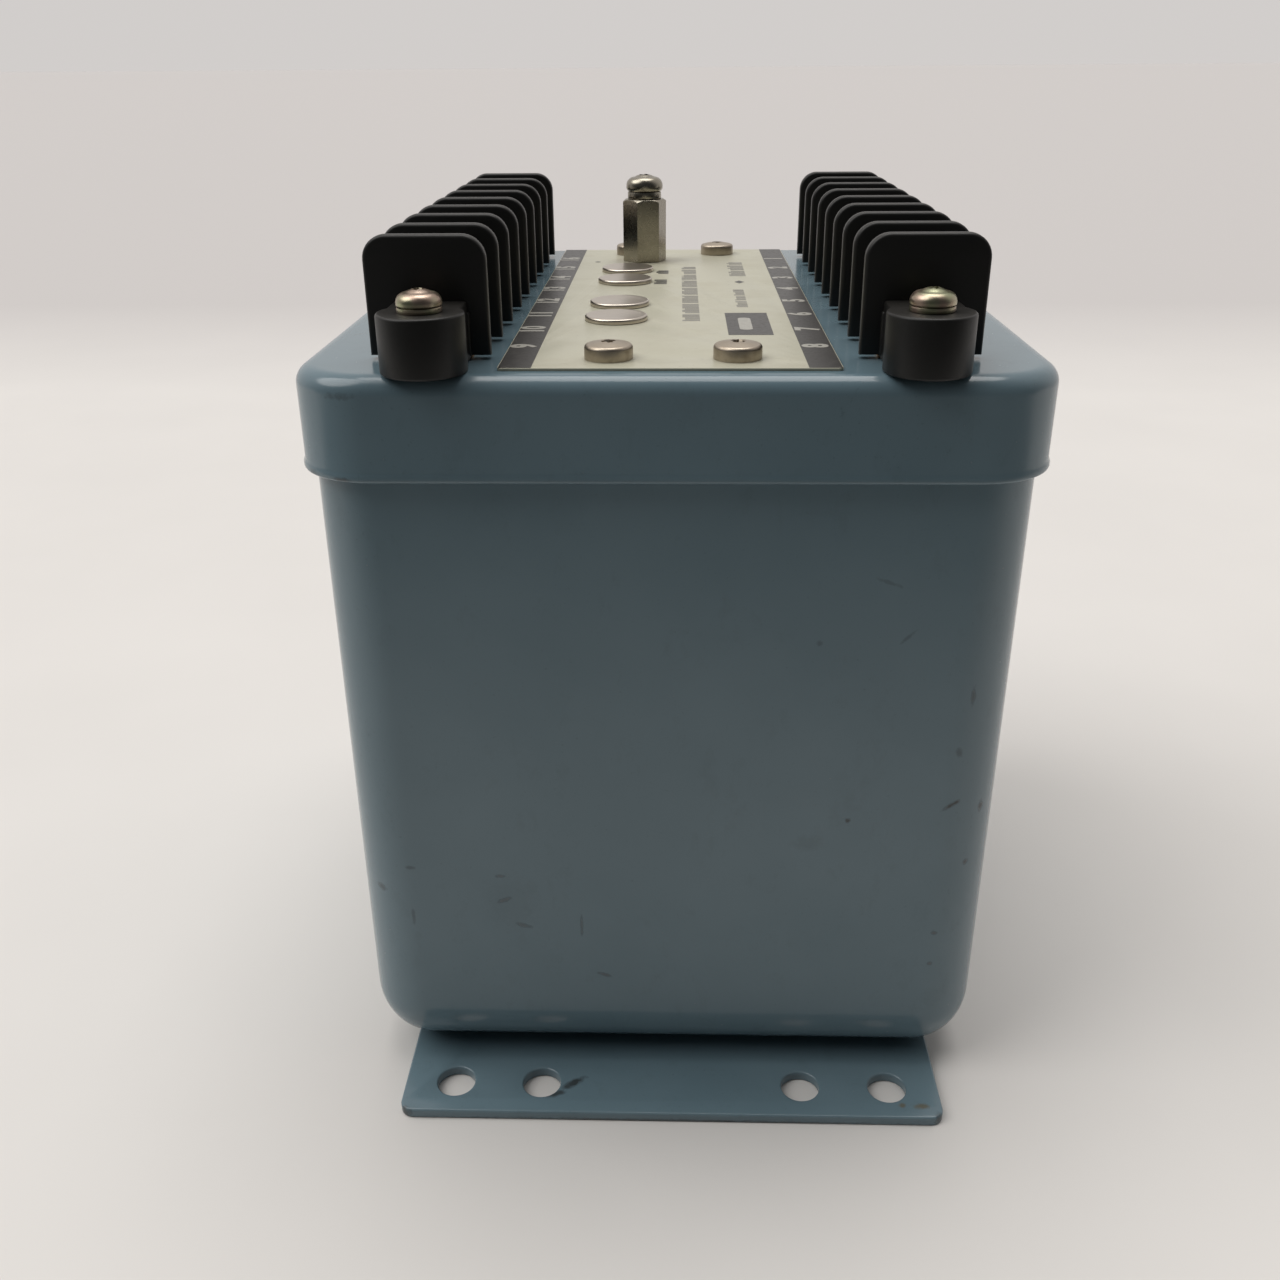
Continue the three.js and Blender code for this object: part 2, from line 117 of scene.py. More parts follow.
class Finish(NodeGraph):
    # a material whose patterns read the piece's own coordinates, in metres
    def __init__(self, name):
        self.material = bpy.data.materials.new(name)
        self.material.use_nodes = True
        super().__init__(self.material.node_tree)
        self.place = self.node("ShaderNodeTexCoord").outputs["Object"]
        self.ragged = 0.5  # or a noise, which frays the edges of the marks

    def along(self, axis):
        parts = self.node("ShaderNodeSeparateXYZ", None, {0: self.place})
        return Wire(self, parts.outputs[axis])

    def noise(self, size, detail=3.0, rough=0.5, stretch=(1, 1, 1)):
        # size is the width of one blotch in mm
        spread = self.node("ShaderNodeMapping", None, {0: self.place, 3: stretch}).outputs[0]
        inputs = {"Vector": spread, "Scale": 1 / (size * mm), "Detail": detail, "Roughness": rough}
        return Wire(self, self.node("ShaderNodeTexNoise", None, inputs).outputs[0])

    def fade(self, wire, low, high, start=0.0, end=1.0):
        inputs = {0: wire, 1: low, 2: high, 3: start, 4: end}
        return Wire(self, self.node("ShaderNodeMapRange", {"clamp": True}, inputs).outputs[0])

    def mix(self, factor, first, second):
        settings = {"data_type": "RGBA", "blend_type": "MIX"}
        colours = [(*c, 1) if isinstance(c, tuple) else c for c in (first, second)]
        made = self.node("ShaderNodeMix", settings, {0: factor, 6: colours[0], 7: colours[1]})
        return made.outputs[2]

    def mark(self, centre, radii, turn=0.0, about="Y_AXIS", ragged=0.7, soft=0.6):
        # 1 inside an ellipsoid with ragged edges, 0 outside; sizes in mm, turn in degrees
        away = self.node("ShaderNodeVectorMath", {"operation": "SUBTRACT"},
                         {0: self.place, 1: [c * mm for c in centre]}).outputs[0]
        rotated = self.node("ShaderNodeVectorRotate", {"rotation_type": about},
                            {"Vector": away, "Angle": math.radians(turn)}).outputs[0]
        scaled = self.node("ShaderNodeVectorMath", {"operation": "DIVIDE"},
                           {0: rotated, 1: [r * mm for r in radii]}).outputs[0]
        length = self.node("ShaderNodeVectorMath", {"operation": "LENGTH"}, {0: scaled})
        edge = Wire(self, length.outputs["Value"]) + (self.ragged - 0.5) * (2 * ragged)
        return self.fade(edge, 1.0, 1.0 - soft)

    def bumps(self, height, depth):
        # depth is the height of the relief in mm
        inputs = {"Height": height, "Distance": depth * mm, "Strength": 1.0}
        return self.node("ShaderNodeBump", None, inputs).outputs[0]

    def close(self, **sockets):
        names = {"base": "Base Color", "roughness": "Roughness", "metallic": "Metallic",
                 "normal": "Normal", "specular": "Specular IOR Level"}
        inputs = {}
        for key, value in sockets.items():
            inputs[names[key]] = (*value, 1) if isinstance(value, tuple) else value
        shader = self.node("ShaderNodeBsdfPrincipled", None, inputs)
        self.node("ShaderNodeOutputMaterial", None, {0: shader.outputs[0]})
        return self.material


# Finishes: colours, roughness, and the depth of the relief in mm

enamel = {
    "base": (0.124, 0.188, 0.221),
    "pale": (0.139, 0.205, 0.239),
    "grimeAndShadow": (0.026, 0.027, 0.026),
    "bare": (0.13, 0.115, 0.075),
    "roughness": 0.15,
    "peelDepth": 0.004,
}

# centre and radii in mm, turn in degrees, and strength of each mark: scuffs, and on the plate also
# a painted shadow
canScuffs = [
    ((38.9, -54.0, 49.4), (1.75, 1.0, 0.42), 35, 1.0),
    ((24.6, -54.0, 46.7), (0.5, 0.8, 0.5), 0, 0.9),
    ((40.1, -53.8, 66.1), (0.45, 2.0, 1.7), 0, 0.6),
    ((39.1, -54.0, 57.7), (0.6, 2.0, 1.0), 20, 0.45),
    ((43.4, -52.1, 47.9), (0.5, 2.0, 1.2), 0, 0.9),
    ((42.0, -52.9, 39.2), (0.5, 2.0, 0.7), 0, 0.9),
    ((38.5, -54.0, 27.3), (0.55, 1.0, 0.45), 0, 0.8),
    ((38.3, -54.0, 21.7), (0.5, 1.0, 0.4), 0, 0.7),
    ((-24.8, -54.0, 36.6), (0.9, 0.8, 0.35), 0, 0.6),
    ((-24.4, -54.0, 32.4), (1.3, 0.8, 0.5), 20, 0.6),
    ((-21.8, -54.0, 27.9), (1.5, 0.8, 0.5), -15, 0.55),
    ((-23.5, -54.0, 32.0), (5.0, 1.5, 6.0), 0, 0.08),
    ((-13.2, -54.0, 28.0), (0.28, 0.8, 2.4), 0, 0.5),
    ((-10.0, -54.0, 18.9), (1.5, 0.8, 0.38), -20, 0.7),
    ((-42.6, -52.4, 33.4), (0.9, 2.0, 0.7), 0, 0.6),
    ((-38.0, -54.0, 29.2), (0.35, 1.0, 1.8), 0, 0.4),
    ((-37.8, -54.0, 37.9), (0.9, 1.0, 0.4), 0, 0.45),
    ((30.7, -54.0, 75.1), (1.6, 0.8, 0.3), 45, 0.35),
    ((27.7, -54.0, 82.7), (2.2, 0.8, 0.35), -20, 0.3),
    ((19.2, -54.0, 74.1), (0.5, 0.8, 0.5), 0, 0.35),
    ((19.1, -54.0, 42.9), (2.6, 0.8, 1.6), 10, 0.12),
]

plateScuffsAndShadow = [
    ((-14.9, -58.5, 1.6), (2.6, 0.8, 0.8), -36, 1.0),
    ((-17.2, -60.6, 1.6), (1.8, 0.6, 0.8), -25, 0.9),
    ((39.7, -63.6, 1.0), (1.0, 0.9, 1.0), 0, 0.9),
    ((-39.8, -64.0, 0.8), (1.4, 1.0, 1.2), 0, 0.9),
    # painted contact shadow: a dark line along the foot of the plate's front edge, where it meets
    # the floor
    ((0.0, -64.4, 0.2), (41.0, 0.5, 0.45), 0, 0.8),
]

plateBare = [
    ((37.6, -62.0, 1.6), (1.5, 0.7, 0.6), 0, 0.8),
    ((34.6, -61.9, 1.6), (0.6, 0.7, 0.6), 0, 0.8),
]

lidScuffs = [
    ((-42.8, -55.3, 107.0), (4.6, 1.2, 0.7), 0, 0.55),
    ((-46.0, -53.5, 105.6), (1.2, 1.4, 0.8), 0, 0.55),
    ((-46.0, -52.8, 96.6), (1.6, 2.0, 0.6), 0, 0.7),
    ((-41.6, -55.2, 96.5), (2.2, 1.0, 0.4), 0, 0.7),
]


def paintFinish(name, scuffsAndShadows, bareSpots=(), about="Y_AXIS"):
    paint = Finish(name)
    paint.ragged = paint.noise(0.9, 4.0, 0.65)
    cloud = paint.noise(22, 3.0, 0.55)
    speck = paint.fade(paint.noise(0.55, 2.0, 0.5), 0.66, 0.76)
    colour = paint.mix(paint.fade(cloud, 0.35, 0.7), enamel["base"], enamel["pale"])
    smears = paint.fade(paint.noise(4.0, 5.0, 0.7, (1, 1, 0.6)), 0.56, 0.78)
    colour = paint.mix(smears * 0.12, colour, enamel["grimeAndShadow"])
    colour = paint.mix(speck * 0.14, colour, enamel["grimeAndShadow"])
    dirtAndShadow = 0.0
    # dark marks: scuffs, and on the plate a painted contact shadow along the foot of its front edge
    for centre, radii, turn, strength in scuffsAndShadows:
        dirtAndShadow = (paint.mark(centre, radii, turn, about) * strength).higher(dirtAndShadow)
    colour = paint.mix(dirtAndShadow * 0.85, colour, enamel["grimeAndShadow"])
    for centre, radii, turn, strength in bareSpots:
        spot = paint.mark(centre, radii, turn, about) * strength
        colour = paint.mix(spot, colour, enamel["bare"])
    peel = paint.noise(1.6, 2.0, 0.5)
    gloss = enamel["roughness"] + paint.fade(cloud, 0.3, 0.7) * 0.06 + speck * 0.1 + dirtAndShadow * 0.2
    relief = paint.bumps(peel, enamel["peelDepth"])
    return paint.close(base=colour, roughness=gloss, normal=relief)


cream = {
    "clean": (0.475, 0.462, 0.362),
    "stained": (0.41, 0.385, 0.295),
    "dust": (0.16, 0.14, 0.11),
    "ring": (0.25, 0.19, 0.12),
    "ringAt": (-5.7, 37.0, 109.6),
    "ringRadii": (7.5, 6.0, 2.0),
    "roughness": 0.36,
    "grainDepth": 0.006,
}


def foilFinish():
    foil = Finish("creamFoil")
    foil.ragged = foil.noise(1.4, 4.0, 0.6)
    stain = foil.fade(foil.noise(9.0, 4.0, 0.6), 0.45, 0.75)
    colour = foil.mix(stain * 0.5, cream["clean"], cream["stained"])
    ring = foil.mark(cream["ringAt"], cream["ringRadii"], soft=0.9)
    colour = foil.mix(ring * 0.45, colour, cream["ring"])
    dust = foil.fade(foil.noise(0.7, 2.0, 0.5), 0.68, 0.78)
    colour = foil.mix(dust * 0.35, colour, cream["dust"])
    grain = foil.noise(0.35, 2.0, 0.5)
    gloss = cream["roughness"] + stain * 0.12
    return foil.close(base=colour, roughness=gloss, normal=foil.bumps(grain, cream["grainDepth"]))


def inkFinish(name, tone, worn):
    ink = Finish(name)
    patch = ink.fade(ink.noise(0.8, 4.0, 0.7), 0.5, 0.8)
    colour = ink.mix(patch * 0.5, tone, worn)
    return ink.close(base=colour, roughness=0.34 + patch * 0.2)


moulded = {
    "black": (0.0078, 0.0078, 0.0072),
    "dust": (0.105, 0.092, 0.076),
    "roughness": 0.42,
    "specular": 0.32,
    "grainDepth": 0.008,
}


def phenolicFinish():
    moulding = Finish("blackPhenolic")
    dust = moulding.fade(moulding.noise(2.2, 5.0, 0.7), 0.55, 0.85)
    normal = moulding.node("ShaderNodeNewGeometry").outputs["Normal"]
    parts = moulding.node("ShaderNodeSeparateXYZ", None, {0: normal})
    facing = Wire(moulding, parts.outputs[2])  # dust lies on what faces up
    lying = moulding.fade(facing, 0.35, 1.0) * (0.3 + dust * 0.7)
    colour = moulding.mix(lying * 0.28, moulded["black"], moulded["dust"])
    grain = moulding.noise(0.5, 3.0, 0.6)
    gloss = moulded["roughness"] + dust * 0.15
    return moulding.close(base=colour, roughness=gloss, specular=moulded["specular"],
                          normal=moulding.bumps(grain, moulded["grainDepth"]))


def platedFinish(name, bright, dull, roughness, tints=None, wear=0.16, gritDepth=0.0006):
    plating = Finish(name)
    tarnish = plating.fade(plating.noise(1.3, 4.0, 0.6), 0.45, 0.75)
    colour = plating.mix(tarnish * 0.5, bright, dull)
    if tints:
        bands = plating.fade(plating.noise(2.6, 2.0, 0.5), 0.4, 0.62)
        colour = plating.mix(0.45, colour, plating.mix(bands, tints[0], tints[1]))
    grit = plating.noise(0.3, 3.0, 0.6)
    gloss = roughness + tarnish * wear
    return plating.close(base=colour, roughness=gloss, metallic=1.0,
                         normal=plating.bumps(grit, gritDepth))


# finishes of the pieces inside: two tones, the span of the pattern over which one turns into the
# other, the depth of its relief, and the pitch of what repeats
inside = {
    "fibre": {"first": (0.27, 0.17, 0.085), "second": (0.17, 0.10, 0.05), "span": (0.35, 0.7),
              "depth": 0.02},
    "board": {"first": (0.028, 0.085, 0.03), "second": (0.045, 0.125, 0.045), "span": (-0.6, 0.8),
              "depth": 0.01, "pitch": 1.2083},
    "case": {"first": (0.025, 0.085, 0.28), "second": (0.035, 0.11, 0.34), "span": (0.3, 0.7),
             "depth": 0.01},
    "core": {"first": (0.035, 0.035, 0.037), "second": (0.10, 0.10, 0.10), "span": (-0.3, 0.9),
             "depth": 0.03, "pitch": 0.5},
    "winding": {"first": (0.46, 0.33, 0.06), "second": (0.62, 0.47, 0.10), "span": (-0.5, 0.9),
                "depth": 0.06, "pitch": 1.6},
}


def along(finish, axis, kind):
    # the angle in radians, along an axis, of what repeats
    return finish.along(axis) * (2 * math.pi / (inside[kind]["pitch"] * mm))


def insideFinish(finish, kind, pattern, gloss, metallic=0.0):
    s = inside[kind]
    colour = finish.mix(finish.fade(pattern, *s["span"]), s["first"], s["second"])
    relief = finish.bumps(pattern, s["depth"])
    return finish.close(base=colour, roughness=gloss, metallic=metallic, normal=relief)


def fibreFinish():
    fibre = Finish("vulcanisedFibre")
    strands = fibre.noise(0.5, 4.0, 0.7, (1, 0.15, 1))
    return insideFinish(fibre, "fibre", strands, 0.75 + strands * 0.1)


def boardFinish():
    board = Finish("greenLaminate")
    weave = along(board, 0, "board").wave() * along(board, 1, "board").wave()
    return insideFinish(board, "board", weave, 0.42 + weave * 0.04)


def caseFinish():
    case = Finish("blueCase")
    cloud = case.noise(1.2, 3.0, 0.6)
    return insideFinish(case, "case", cloud, 0.32 + cloud * 0.1)


def laminationFinish():
    stack = Finish("coreLaminations")
    leaves = along(stack, 1, "core").wave()
    return insideFinish(stack, "core", leaves, 0.42 + stack.noise(2.0) * 0.15, metallic=0.7)


def windingFinish():
    coil = Finish("tapedWinding")
    laps = (along(coil, 2, "winding") + coil.noise(6.0) * 3).wave()
    return insideFinish(coil, "winding", laps, 0.34 + laps * 0.05)


finishes = {
    "can": paintFinish("enamelCan", canScuffs),
    "lid": paintFinish("enamelLid", lidScuffs),
    "plate": paintFinish("enamelPlate", plateScuffsAndShadow, plateBare, "Z_AXIS"),
    "foil": foilFinish(),
    "darkInk": inkFinish("darkInk", (0.030, 0.028, 0.026), (0.085, 0.078, 0.066)),
    "greyInk": inkFinish("greyInk", (0.20, 0.19, 0.165), (0.33, 0.31, 0.26)),
    "paleInk": inkFinish("paleInk", (0.36, 0.35, 0.31), (0.20, 0.19, 0.17)),
    "phenolic": phenolicFinish(),
    "nickel": platedFinish("nickelPlate", bright=(0.42, 0.365, 0.295), dull=(0.27, 0.22, 0.165),
                           roughness=0.38),
    "zinc": platedFinish("zincPlate", bright=(0.40, 0.36, 0.28), dull=(0.22, 0.19, 0.13),
                         roughness=0.30, tints=((0.33, 0.40, 0.20), (0.46, 0.30, 0.25))),
    "plug": platedFinish("plugPlate", bright=(0.60, 0.545, 0.475), dull=(0.55, 0.49, 0.42),
                         roughness=0.29, wear=0.02),
    "post": platedFinish("postPlate", bright=(0.33, 0.305, 0.25), dull=(0.27, 0.245, 0.195),
                         roughness=0.27, wear=0.04),
    "brass": platedFinish("trimmerBrass", bright=(0.70, 0.52, 0.22), dull=(0.42, 0.30, 0.12),
                          roughness=0.24),
    "fibre": fibreFinish(),
    "board": boardFinish(),
    "case": caseFinish(),
    "core": laminationFinish(),
    "winding": windingFinish(),
}
print("finishes made:", len(finishes))


# Mesh helpers: shapes are given in mm

terminals = 8  # in each block
plugs = 4
cutPast = 1.0  # how far a cutter reaches past what it cuts


def middleOf(node):
    low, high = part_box(node)
    return (low + high) / 2 / mm


def boxOf(node):
    low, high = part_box(node)
    return low / mm, high / mm


def meshFrom(name, verts, faces):
    mesh = bpy.data.meshes.new(name)
    mesh.from_pydata(verts, [], faces)
    mesh.update()
    return mesh


def smoothed(mesh, angle=32):
    mesh.shade_smooth()
    mesh.set_sharp_from_angle(angle=math.radians(angle))
    return mesh


def setOutward(mesh):
    work = bmesh.new()
    work.from_mesh(mesh)
    bmesh.ops.remove_doubles(work, verts=work.verts, dist=0.0005 * mm)
    bmesh.ops.recalc_face_normals(work, faces=work.faces)
    work.to_mesh(mesh)
    work.free()
    return mesh


def objectOf(mesh, name=None):
    made = bpy.data.objects.new(name or mesh.name, mesh)
    scene.collection.objects.link(made)
    return made


def evaluated(source, name):
    # the object's final mesh as a plain mesh, and the source removed
    graph = bpy.context.evaluated_depsgraph_get()
    mesh = bpy.data.meshes.new_from_object(source.evaluated_get(graph), depsgraph=graph)
    mesh.name = name
    bpy.data.objects.remove(source, do_unlink=True)
    return mesh


def joined(name, meshes):
    work = bmesh.new()
    for mesh in meshes:
        work.from_mesh(mesh)
    whole = bpy.data.meshes.new(name)
    work.to_mesh(whole)
    work.free()
    return whole


def moved(mesh, offset=(0, 0, 0), turn=0.0, tilt=0.0):
    # turn about Z and tilt about X in degrees, then offset in mm
    place = Matrix.Translation(Vector(offset) * mm)
    place = place @ Matrix.Rotation(math.radians(turn), 4, "Z")
    mesh.transform(place @ Matrix.Rotation(math.radians(tilt), 4, "X"))
    return mesh


def piece(mesh, body, slotName, *replaced, finish=None, angle=32):
    if finish:
        mesh.materials.clear()
        mesh.materials.append(finishes[finish])
    smoothed(mesh, angle)
    made = objectOf(mesh)
    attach(made, body)
    if replaced:
        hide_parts(*replaced)
    return made


def roundedOutline(halfX, halfY, radius, steps, centre=(0, 0)):
    points = []
    for quadrant in range(4):
        signX = 1 if quadrant in (0, 3) else -1
        signY = 1 if quadrant < 2 else -1
        for step in range(steps + 1):
            angle = (quadrant + step / steps) * math.pi / 2
            points.append((centre[0] + signX * (halfX - radius) + radius * math.cos(angle),
                           centre[1] + signY * (halfY - radius) + radius * math.sin(angle)))
    return points


def roundOutline(x, y, radius, steps=40):
    turns = [2 * math.pi * k / steps for k in range(steps)]
    return [(x + radius * math.cos(a), y + radius * math.sin(a)) for a in turns]


def bevelledSheet(name, outlines, low, high, edge):
    # flat sheet with round edges, from closed outlines: the first its rim, the rest its holes
    curve = bpy.data.curves.new(name, "CURVE")
    curve.dimensions = "2D"
    curve.fill_mode = "BOTH"
    for outline in outlines:
        spline = curve.splines.new("POLY")
        spline.points.add(len(outline) - 1)
        for point, (x, y) in zip(spline.points, outline):
            point.co = (x * mm, y * mm, 0, 1)
        spline.use_cyclic_u = True
    curve.extrude = (high - low) / 2 * mm - edge * mm
    curve.bevel_depth = edge * mm
    curve.bevel_resolution = 2
    curve.offset = -edge * mm
    mesh = evaluated(objectOf(curve, name), name)
    mesh.transform(Matrix.Translation((0, 0, (low + high) / 2 * mm)))
    return setOutward(mesh)


def lathed(name, profile, sides=64, centre=(0, 0)):
    # profile is [radius, height], and starts and ends on the axis
    verts, faces, rings = [], [], []
    for radius, height in profile:
        if radius == 0:
            verts.append((centre[0] * mm, centre[1] * mm, height * mm))
            rings.append([len(verts) - 1] * sides)
            continue
        first = len(verts)
        for k in range(sides):
            angle = 2 * math.pi * k / sides
            verts.append(((centre[0] + radius * math.cos(angle)) * mm,
                          (centre[1] + radius * math.sin(angle)) * mm, height * mm))
        rings.append(list(range(first, first + sides)))
    for lower, upper in zip(rings, rings[1:]):
        for k in range(sides):
            following = (k + 1) % sides
            corners = [lower[k], lower[following], upper[following], upper[k]]
            faces.append(list(dict.fromkeys(corners)))
    return setOutward(meshFrom(name, verts, faces))


def arc(centreR, centreZ, radius, start, end, steps):
    # [radius, height] points of an arc; angles in degrees from the outward horizontal
    points = []
    for k in range(steps + 1):
        angle = math.radians(start + (end - start) * k / steps)
        points.append((centreR + radius * math.cos(angle), centreZ + radius * math.sin(angle)))
    return points


def boxMesh(name, x0, x1, y0, y1, z0, z1):
    corners = [(x, y, z) for z in (z0, z1) for y in (y0, y1) for x in (x0, x1)]
    faces = [(0, 2, 3, 1), (4, 5, 7, 6), (0, 1, 5, 4), (2, 6, 7, 3), (0, 4, 6, 2), (1, 3, 7, 5)]
    return meshFrom(name, [tuple(c * mm for c in corner) for corner in corners], faces)


def cut(mesh, cutters):
    body = objectOf(mesh, mesh.name + "Work")
    tool = objectOf(joined("cutTool", cutters))
    knife = body.modifiers.new("cut", "BOOLEAN")
    knife.operation = "DIFFERENCE"
    knife.solver = "EXACT"
    knife.use_self = True
    knife.object = tool
    result = evaluated(body, mesh.name)
    bpy.data.objects.remove(tool, do_unlink=True)
    return result


def bevelled(mesh, width, segments=3, angle=40):
    body = objectOf(mesh, mesh.name + "Work")
    rounding = body.modifiers.new("edges", "BEVEL")
    rounding.width = width * mm
    rounding.segments = segments
    rounding.limit_method = "ANGLE"
    rounding.angle_limit = math.radians(angle)
    rounding.miter_outer = "MITER_ARC"
    return evaluated(body, mesh.name)


def shellFrom(name, halfX, halfY, corner, levels, steps=18, leastShare=0.12):
    # skins [inset, height] levels of a rounded rectangle; both end levels are capped
    verts, faces = [], []
    for inset, z in levels:
        radius = max(corner - inset, corner * leastShare)
        for x, y in roundedOutline(halfX - inset, halfY - inset, radius, steps):
            verts.append((x * mm, y * mm, z * mm))
    count = 4 * (steps + 1)
    for level in range(len(levels) - 1):
        for k in range(count):
            following = (k + 1) % count
            low = level * count
            faces.append((low + k, low + following, low + count + following, low + count + k))
    faces.append(list(range(count)))
    faces.append(list(range((len(levels) - 1) * count, len(levels) * count)))
    return setOutward(meshFrom(name, verts, faces))


def bendLevels(inset, radius, middle, way, steps):
    # levels round a bend, outwards from the flat; way is 1 at a shell's top and -1 at its bottom
    angles = [k / steps * math.pi / 2 for k in range(steps + 1)]
    return [(inset - radius * math.sin(a), middle + way * radius * math.cos(a)) for a in angles]


# Geometry Nodes: copies of a template in a row along Y, each with its own seeded turn

def rowTree():
    tree = bpy.data.node_groups.new("rowAlongY", "GeometryNodeTree")
    sockets = [("Template", "NodeSocketObject"), ("Count", "NodeSocketInt"),
               ("Pitch", "NodeSocketFloat"), ("Centre", "NodeSocketVector"),
               ("Turn Spread", "NodeSocketFloat"), ("Seed", "NodeSocketInt"),
               ("Finish", "NodeSocketMaterial")]
    graph = NodeGraph(tree)
    for name, kind in sockets:
        tree.interface.new_socket(name=name, in_out="INPUT", socket_type=kind)
    tree.interface.new_socket(name="Geometry", in_out="OUTPUT", socket_type="NodeSocketGeometry")
    given = graph.node("NodeGroupInput").outputs
    gaps = Wire(graph, given["Count"]) - 1
    reach = gaps * Wire(graph, given["Pitch"]) * -0.5
    offset = graph.node("ShaderNodeCombineXYZ", None, {1: reach}).outputs[0]
    start = graph.node("ShaderNodeVectorMath", {"operation": "ADD"},
                       {0: given["Centre"], 1: offset})
    step = graph.node("ShaderNodeCombineXYZ", None, {1: given["Pitch"]}).outputs[0]
    line = graph.node("GeometryNodeMeshLine", {"mode": "OFFSET"},
                      {"Count": given["Count"], "Start Location": start.outputs[0], "Offset": step})
    source = graph.node("GeometryNodeObjectInfo", None, {"Object": given["Template"]})
    low = Wire(graph, given["Turn Spread"]) * -1.0
    turn = graph.node("FunctionNodeRandomValue", {"data_type": "FLOAT"},
                      {2: low, 3: given["Turn Spread"], "Seed": given["Seed"]}).outputs[1]
    spin = graph.node("ShaderNodeCombineXYZ", None, {2: turn}).outputs[0]
    copies = graph.node("GeometryNodeInstanceOnPoints", None,
                        {"Points": line.outputs[0], "Instance": source.outputs["Geometry"],
                         "Rotation": spin})
    real = graph.node("GeometryNodeRealizeInstances", None, {0: copies.outputs[0]})
    coated = graph.node("GeometryNodeSetMaterial", None,
                        {"Geometry": real.outputs[0], "Material": given["Finish"]})
    graph.node("NodeGroupOutput", None, {0: coated.outputs[0]})
    return tree


rowGroup = rowTree()


def rowOf(name, template, finish, count, pitch, centre, turnSpread=0.0, seed=1):
    source = objectOf(template, name + "Template")
    holder = objectOf(bpy.data.meshes.new(name + "Holder"))
    row = holder.modifiers.new("row", "NODES")
    row.node_group = rowGroup
    values = {"Template": source, "Count": count, "Pitch": pitch * mm,
              "Centre": [c * mm for c in centre], "Turn Spread": math.radians(turnSpread),
              "Seed": seed, "Finish": finishes[finish]}
    for item in rowGroup.interface.items_tree:
        if item.in_out == "INPUT":
            row[item.identifier] = values[item.name]
    mesh = evaluated(holder, name)
    bpy.data.objects.remove(source, do_unlink=True)
    return mesh


# Drawn steel can

canSizes = {
    "corner": 9.1, "bottomRadius": 10.4, "sheet": 1.0, "bendSteps": 16, "rimRound": 0.25,
    "flatFrom": 0.6, "flatTo": 4.0,  # rings of the flat bottom, from the bend inwards
}


def makeCan():
    low, high = boxOf("can")
    s = canSizes
    bend, sheet, rim, steps = s["bottomRadius"], s["sheet"], s["rimRound"], s["bendSteps"]
    levels = [(bend + s["flatTo"], low.z), (bend + s["flatFrom"], low.z)]
    levels += bendLevels(bend, bend, low.z + bend, -1, steps)
    levels += [(0, high.z - rim), (rim, high.z), (sheet - rim, high.z), (sheet, high.z - rim)]
    levels += bendLevels(bend, bend - sheet, low.z + bend, -1, steps)[::-1]
    levels.append((bend + s["flatTo"], low.z + sheet))
    mesh = shellFrom("drawn_can", high.x, high.y, s["corner"], levels)
    piece(mesh, housing, "blue_enamel", "can", finish="can")


# Cap lid: a rolled lip, holes that it shares with the label, and slots under the blocks

topHoles = {"access": 3.5, "stud": 2.0, "screw": 1.95}  # radii

lidSizes = {
    "corner": 10.5, "edgeRadius": 2.4, "sheet": 1.0, "bendSteps": 9,
    "flatFrom": 0.5, "flatTo": 3.0,  # rings of the flat top, from the bend inwards
    "lipOut": 0.22, "lipHigh": 1.0, "lipRound": 0.4, "lipFade": 0.35, "lipDrop": 0.3,
    "innerRound": 0.2, "lugHole": 1.6, "slotHalfX": 2.6, "slotHalfY": 43.5,
}


def sharedHoles():
    # x, y and radius of each hole through both the label and the lid
    holes = [(middleOf(f"adjuster_plug_{k}"), topHoles["access"]) for k in range(1, plugs + 1)]
    holes.append((middleOf("post_screw"), topHoles["stud"]))
    screws = [node for node in nodes if node.startswith("label_screw_")]
    holes += [(middleOf(node), topHoles["screw"]) for node in screws]
    return [(centre.x, centre.y, radius) for centre, radius in holes]


def makeLid():
    low, high = boxOf("lid")
    s = lidSizes
    edge, sheet, out, steps = s["edgeRadius"], s["sheet"], s["lipOut"], s["bendSteps"]
    levels = [(edge + s["flatTo"], high.z), (edge + s["flatFrom"], high.z)]
    levels += bendLevels(edge, edge, high.z - edge, 1, steps)
    lipTop = low.z + s["lipHigh"]
    levels += [(0, lipTop + s["lipFade"]), (-out * 0.5, lipTop), (-out, lipTop - s["lipDrop"])]
    lip = s["lipRound"]
    for angle in (0, 22, 45, 67, 90):
        turn = math.radians(angle)
        levels.append((-out + lip - lip * math.cos(turn), low.z + lip - lip * math.sin(turn)))
    levels += [(sheet - s["innerRound"], low.z), (sheet, low.z + s["innerRound"])]
    levels += bendLevels(edge, edge - sheet, high.z - edge, 1, steps)[::-1]
    levels.append((edge + s["flatTo"], high.z - sheet))
    shell = shellFrom("cap_lid", high.x, high.y, s["corner"], levels)

    bottom, top = high.z - sheet - cutPast, high.z + cutPast
    holes = sharedHoles()
    for node in nodes:
        if node.startswith("block_screw_"):
            centre = middleOf(node)
            holes.append((centre.x, centre.y, s["lugHole"]))
    cutters = [lathed("hole", [(0, bottom), (r, bottom), (r, top), (0, top)], 40, (x, y))
               for x, y, r in holes]
    for side in ("left", "right"):
        x = middleOf(f"terminal_block_{side}").x
        cutters.append(boxMesh("slot", x - s["slotHalfX"], x + s["slotHalfX"],
                               -s["slotHalfY"], s["slotHalfY"], bottom, top))
    piece(cut(shell, cutters), housing, "blue_enamel", "lid", finish="lid")


# Flanged base plate

plateSizes = {
    "corner": 2.0, "edge": 0.3,
    "holeRadius": 2.85, "holeX": (-32.85, -19.7, 19.7, 32.85), "holeInset": 5.9,
}


